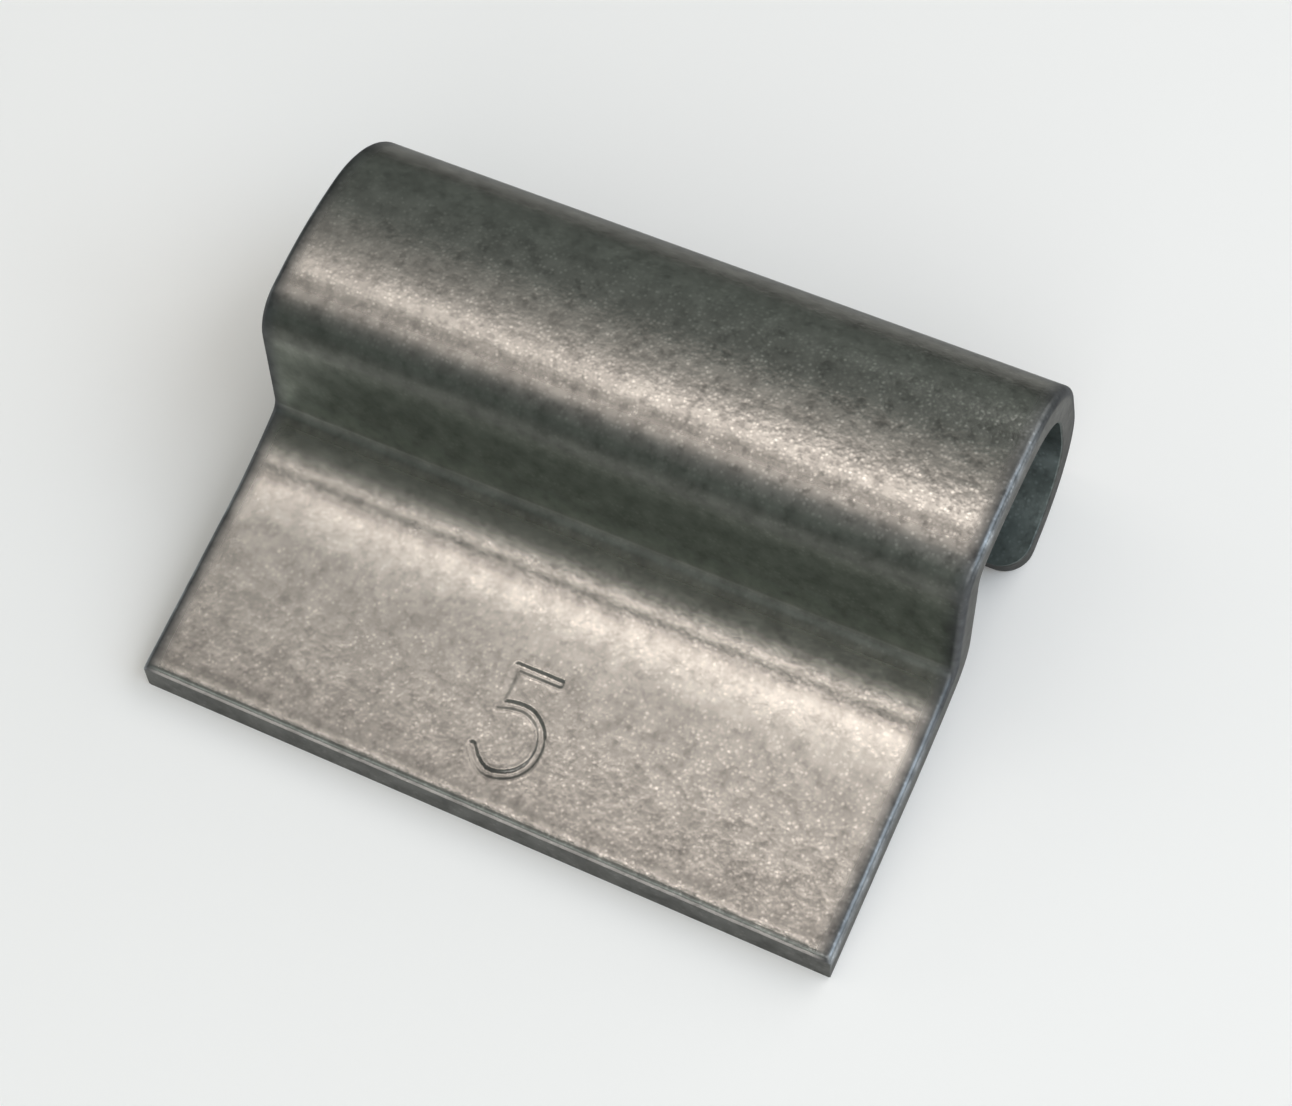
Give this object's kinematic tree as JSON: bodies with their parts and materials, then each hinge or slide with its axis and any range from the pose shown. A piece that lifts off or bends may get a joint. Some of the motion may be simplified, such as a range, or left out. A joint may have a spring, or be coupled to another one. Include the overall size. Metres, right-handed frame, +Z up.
{
  "type": "wheel balance weight",
  "caption": "Clip-on balance weight folded from a strip of sheet steel: a flat apron bears on the wheel rim, and the hook above it grips the lip of the rim.",
  "frame": {"origin": "on the surface that the lying weight rests on, below the middle of its bounding box", "axes": "+X along the strip's width, which is the way the weight runs along the rim; +Y from the apron's free edge to the hook; +Z up"},
  "size_m": [0.0218, 0.0172, 0.0083],
  "materials": {
    "weight_steel": "satin, fine-grained silvery grey plating over sheet steel"
  },
  "bodies": {
    "root": {"balance_weight": "weight_steel"}
  },
  "joints": []
}
